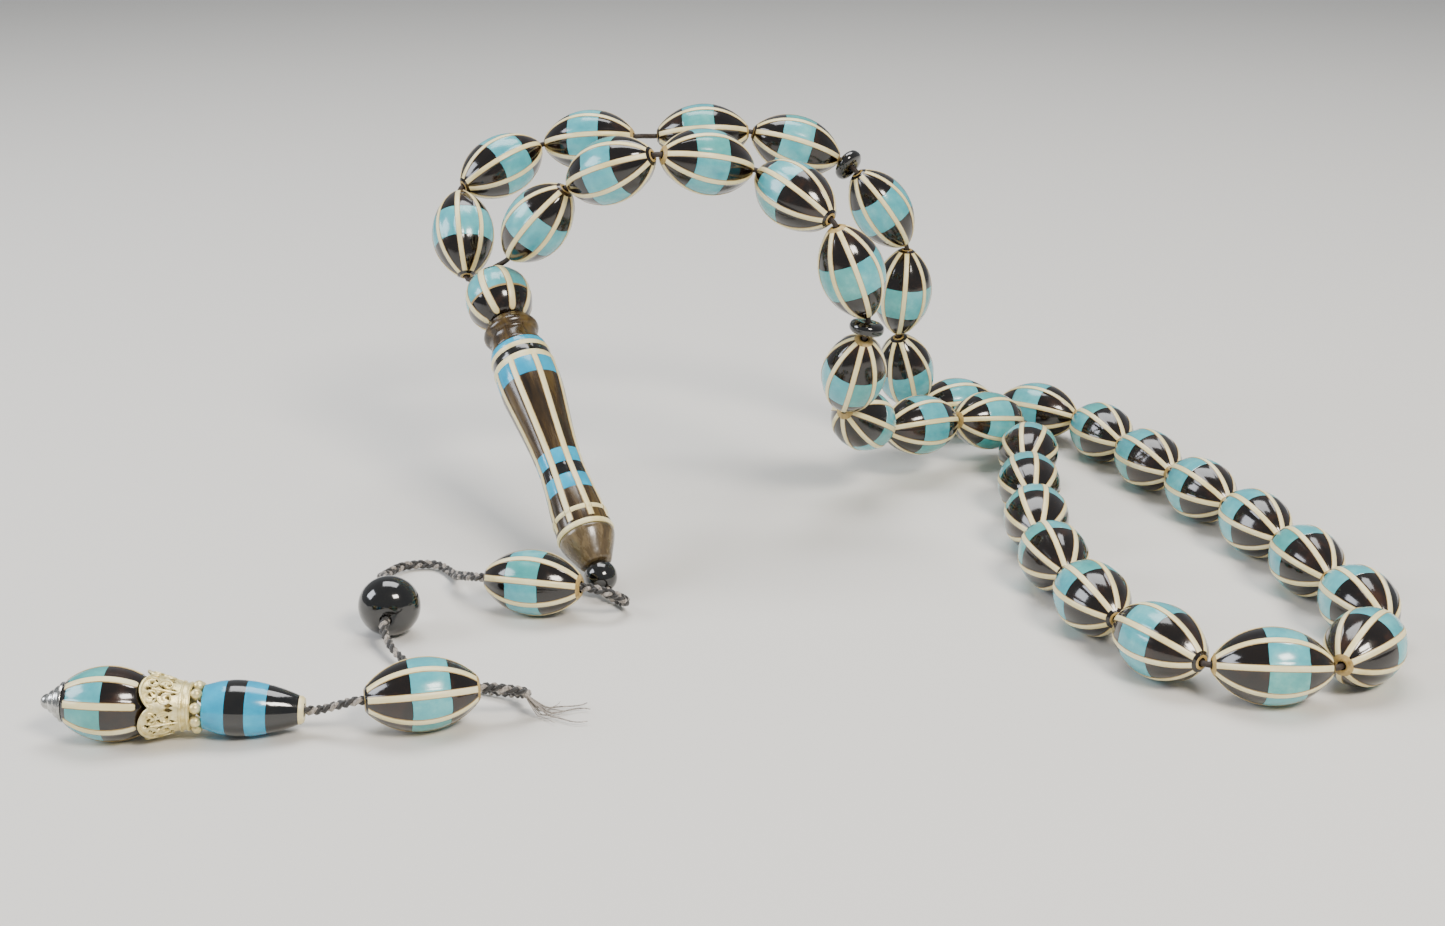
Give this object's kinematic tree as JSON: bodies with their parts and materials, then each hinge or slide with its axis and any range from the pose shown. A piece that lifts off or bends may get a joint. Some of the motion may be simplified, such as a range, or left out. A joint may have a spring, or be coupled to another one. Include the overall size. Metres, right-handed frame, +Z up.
{
  "type": "misbaha prayer beads",
  "caption": "Loop of inlaid barrel beads on a thread, with disc separators, a turned leader and a corded tail of beads ending in a banded cone, draped in an open arch.",
  "frame": {"origin": "centre of the footprint, on the ground", "axes": "+Z up, +X towards the outer end of the loop, +Y away from the tail"},
  "size_m": [0.1739, 0.129, 0.062],
  "materials": {
    "bead_core": "polished, near-black brown",
    "cream_inlay": "polished, warm cream",
    "turquoise_tile": "polished, mottled turquoise",
    "azure_band": "polished azure",
    "cord": "plaited, satin",
    "turned_wood": "polished brown",
    "silver": "worn silver metal",
    "black_gloss": "polished black"
  },
  "bodies": {
    "leader": {"loop_cord": "cord", "tail_cord": "cord", "leader_collar": "turned_wood", "leader_body": "bead_core", "leader_azure_bands": "azure_band", "leader_cream_rings": "cream_inlay", "leader_strips": "cream_inlay", "leader_foot": "turned_wood", "leader_end_ball": "black_gloss"},
    "leader_head": {"leader_head": "bead_core", "leader_head_tiles": "turquoise_tile", "leader_head_strips": "cream_inlay"},
    "end_piece": {"end_cone": "black_gloss", "end_cone_bands": "azure_band", "end_cone_rim": "cream_inlay", "granule_ring": "silver", "filigree_cap": "silver", "end_bead": "bead_core", "end_bead_tiles": "turquoise_tile", "end_bead_strips": "cream_inlay", "finial": "silver"},
    "tail_bead_upper": {"tail_bead_upper": "bead_core"},
    "tail_ball": {"tail_ball": "black_gloss"},
    "tail_bead_lower": {"tail_bead_lower": "bead_core"},
    "separator_front": {"separator_front": "black_gloss"},
    "separator_back": {"separator_back": "black_gloss"},
    "bead_01": {"bead_01": "bead_core"},
    "bead_02": {"bead_02": "bead_core"},
    "bead_03": {"bead_03": "bead_core"},
    "bead_04": {"bead_04": "bead_core"},
    "bead_05": {"bead_05": "bead_core"},
    "bead_06": {"bead_06": "bead_core"},
    "bead_07": {"bead_07": "bead_core"},
    "bead_08": {"bead_08": "bead_core"},
    "bead_09": {"bead_09": "bead_core"},
    "bead_10": {"bead_10": "bead_core"},
    "bead_11": {"bead_11": "bead_core"},
    "bead_12": {"bead_12": "bead_core"},
    "bead_13": {"bead_13": "bead_core"},
    "bead_14": {"bead_14": "bead_core"},
    "bead_15": {"bead_15": "bead_core"},
    "bead_16": {"bead_16": "bead_core"},
    "bead_17": {"bead_17": "bead_core"},
    "bead_18": {"bead_18": "bead_core"},
    "bead_19": {"bead_19": "bead_core"},
    "bead_20": {"bead_20": "bead_core"},
    "bead_21": {"bead_21": "bead_core"},
    "bead_22": {"bead_22": "bead_core"},
    "bead_23": {"bead_23": "bead_core"},
    "bead_24": {"bead_24": "bead_core"},
    "bead_25": {"bead_25": "bead_core"},
    "bead_26": {"bead_26": "bead_core"},
    "bead_27": {"bead_27": "bead_core"},
    "bead_28": {"bead_28": "bead_core"},
    "bead_29": {"bead_29": "bead_core"},
    "bead_30": {"bead_30": "bead_core"},
    "bead_31": {"bead_31": "bead_core"},
    "bead_32": {"bead_32": "bead_core"},
    "bead_33": {"bead_33": "bead_core"}
  },
  "joints": [
    {"name": "leader_head_spin", "type": "hinge", "parent": "leader", "child": "leader_head", "pos_m": [-0.0399, 0.02191, 0.03423], "axis": [-0.3381, 0.725, 0.6], "continuous": true},
    {"name": "bead_01_spin", "type": "hinge", "parent": "leader", "child": "bead_01", "pos_m": [-0.03335, 0.02079, 0.04666], "axis": [0.609, -0.248, 0.7534], "continuous": true},
    {"name": "bead_02_spin", "type": "hinge", "parent": "leader", "child": "bead_02", "pos_m": [-0.02165, 0.01583, 0.05564], "axis": [0.8526, -0.3711, 0.368], "continuous": true},
    {"name": "bead_03_spin", "type": "hinge", "parent": "leader", "child": "bead_03", "pos_m": [-0.00719, 0.01613, 0.05691], "axis": [0.8879, 0.4066, -0.2152], "continuous": true},
    {"name": "bead_04_spin", "type": "hinge", "parent": "leader", "child": "bead_04", "pos_m": [0.00597, 0.01409, 0.05222], "axis": [0.6775, -0.6506, -0.3432], "continuous": true},
    {"name": "bead_05_spin", "type": "hinge", "parent": "leader", "child": "bead_05", "pos_m": [0.01449, 0.00977, 0.04157], "axis": [0.3416, 0.1342, -0.9302], "continuous": true},
    {"name": "bead_06_spin", "type": "hinge", "parent": "leader", "child": "bead_06", "pos_m": [0.01544, 0.01471, 0.02435], "axis": [-0.1606, 0.4817, -0.8615], "continuous": true},
    {"name": "bead_07_spin", "type": "hinge", "parent": "leader", "child": "bead_07", "pos_m": [0.01794, 0.02488, 0.01354], "axis": [0.4638, 0.7586, -0.4576], "continuous": true},
    {"name": "bead_08_spin", "type": "hinge", "parent": "leader", "child": "bead_08", "pos_m": [0.0283, 0.03551, 0.00927], "axis": [0.824, 0.5619, -0.0726], "continuous": true},
    {"name": "bead_09_spin", "type": "hinge", "parent": "leader", "child": "bead_09", "pos_m": [0.04093, 0.04443, 0.0072], "axis": [0.7922, 0.5792, -0.1921], "continuous": true},
    {"name": "bead_10_spin", "type": "hinge", "parent": "leader", "child": "bead_10", "pos_m": [0.04638, 0.0337, 0.005], "axis": [-0.223, -0.9748, 0], "continuous": true},
    {"name": "bead_11_spin", "type": "hinge", "parent": "leader", "child": "bead_11", "pos_m": [0.04413, 0.01822, 0.005], "axis": [-0.064, -0.998, 0], "continuous": true},
    {"name": "bead_12_spin", "type": "hinge", "parent": "leader", "child": "bead_12", "pos_m": [0.04288, 0.00271, 0.005], "axis": [-0.096, -0.9954, 0], "continuous": true},
    {"name": "bead_13_spin", "type": "hinge", "parent": "leader", "child": "bead_13", "pos_m": [0.04288, -0.01293, 0.005], "axis": [0.0954, -0.9954, 0], "continuous": true},
    {"name": "bead_14_spin", "type": "hinge", "parent": "leader", "child": "bead_14", "pos_m": [0.04565, -0.02832, 0.005], "axis": [0.2575, -0.9663, 0], "continuous": true},
    {"name": "bead_15_spin", "type": "hinge", "parent": "leader", "child": "bead_15", "pos_m": [0.05178, -0.04271, 0.005], "axis": [0.5186, -0.855, 0], "continuous": true},
    {"name": "bead_16_spin", "type": "hinge", "parent": "leader", "child": "bead_16", "pos_m": [0.06434, -0.05028, 0.005], "axis": [0.9983, -0.0575, 0], "continuous": true},
    {"name": "bead_17_spin", "type": "hinge", "parent": "leader", "child": "bead_17", "pos_m": [0.07787, -0.04441, 0.005], "axis": [0.6405, 0.768, 0], "continuous": true},
    {"name": "bead_18_spin", "type": "hinge", "parent": "leader", "child": "bead_18", "pos_m": [0.08161, -0.03002, 0.005], "axis": [-0.1847, 0.9828, 0], "continuous": true},
    {"name": "bead_19_spin", "type": "hinge", "parent": "leader", "child": "bead_19", "pos_m": [0.07891, -0.01474, 0.005], "axis": [-0.1639, 0.9865, 0], "continuous": true},
    {"name": "bead_20_spin", "type": "hinge", "parent": "leader", "child": "bead_20", "pos_m": [0.07563, 0.0005, 0.005], "axis": [-0.2561, 0.9667, 0], "continuous": true},
    {"name": "bead_21_spin", "type": "hinge", "parent": "leader", "child": "bead_21", "pos_m": [0.0709, 0.01537, 0.005], "axis": [-0.3497, 0.9369, 0], "continuous": true},
    {"name": "bead_22_spin", "type": "hinge", "parent": "leader", "child": "bead_22", "pos_m": [0.06568, 0.03001, 0.005], "axis": [-0.322, 0.9467, 0], "continuous": true},
    {"name": "bead_23_spin", "type": "hinge", "parent": "leader", "child": "bead_23", "pos_m": [0.06076, 0.04472, 0.005], "axis": [-0.3124, 0.9499, 0], "continuous": true},
    {"name": "bead_24_spin", "type": "hinge", "parent": "leader", "child": "bead_24", "pos_m": [0.05166, 0.05712, 0.005], "axis": [-0.8123, 0.5833, 0], "continuous": true},
    {"name": "bead_25_spin", "type": "hinge", "parent": "leader", "child": "bead_25", "pos_m": [0.03713, 0.0591, 0.00532], "axis": [-0.9387, -0.3427, 0.0387], "continuous": true},
    {"name": "bead_26_spin", "type": "hinge", "parent": "leader", "child": "bead_26", "pos_m": [0.02732, 0.05344, 0.01343], "axis": [-0.2193, -0.3258, 0.9197], "continuous": true},
    {"name": "bead_27_spin", "type": "hinge", "parent": "leader", "child": "bead_27", "pos_m": [0.02603, 0.05008, 0.02865], "axis": [0.0561, -0.0966, 0.9937], "continuous": true},
    {"name": "bead_28_spin", "type": "hinge", "parent": "leader", "child": "bead_28", "pos_m": [0.0219, 0.0484, 0.04332], "axis": [-0.5654, -0.1106, 0.8174], "continuous": true},
    {"name": "bead_29_spin", "type": "hinge", "parent": "leader", "child": "bead_29", "pos_m": [0.00732, 0.04859, 0.05393], "axis": [-0.9494, -0.0747, 0.3051], "continuous": true},
    {"name": "bead_30_spin", "type": "hinge", "parent": "leader", "child": "bead_30", "pos_m": [-0.00814, 0.04751, 0.05605], "axis": [-0.9974, -0.0621, -0.0373], "continuous": true},
    {"name": "bead_31_spin", "type": "hinge", "parent": "leader", "child": "bead_31", "pos_m": [-0.02683, 0.04601, 0.05524], "axis": [-0.9793, 0.1703, -0.1095], "continuous": true},
    {"name": "bead_32_spin", "type": "hinge", "parent": "leader", "child": "bead_32", "pos_m": [-0.04118, 0.04314, 0.05148], "axis": [-0.7781, -0.5208, -0.3512], "continuous": true},
    {"name": "bead_33_spin", "type": "hinge", "parent": "leader", "child": "bead_33", "pos_m": [-0.04666, 0.03353, 0.04217], "axis": [0.1211, -0.6323, -0.7652], "continuous": true},
    {"name": "separator_front_spin", "type": "hinge", "parent": "leader", "child": "separator_front", "pos_m": [0.01698, 0.01085, 0.03266], "axis": [-0.1728, 0, -0.985], "continuous": true},
    {"name": "separator_back_spin", "type": "hinge", "parent": "leader", "child": "separator_back", "pos_m": [0.01614, 0.04836, 0.05074], "axis": [-0.7096, 0.5361, 0.4573], "continuous": true},
    {"name": "tail_bead_upper_slide", "type": "slide", "parent": "leader", "child": "tail_bead_upper", "axis": [-0.9701, 0.2425, 0], "range_m": [-0.0009, 0.0009]},
    {"name": "tail_ball_slide", "type": "slide", "parent": "leader", "child": "tail_ball", "axis": [0, -0.9787, -0.2051], "range_m": [-0.0012, 0.0012]},
    {"name": "tail_bead_lower_slide", "type": "slide", "parent": "leader", "child": "tail_bead_lower", "axis": [-0.9701, -0.2425, 0], "range_m": [-0.0009, 0.0009]},
    {"name": "end_piece_swivel", "type": "hinge", "parent": "leader", "child": "end_piece", "pos_m": [-0.05585, -0.05858, 0.003], "axis": [-0.9955, -0.0634, 0.0698], "continuous": true}
  ]
}
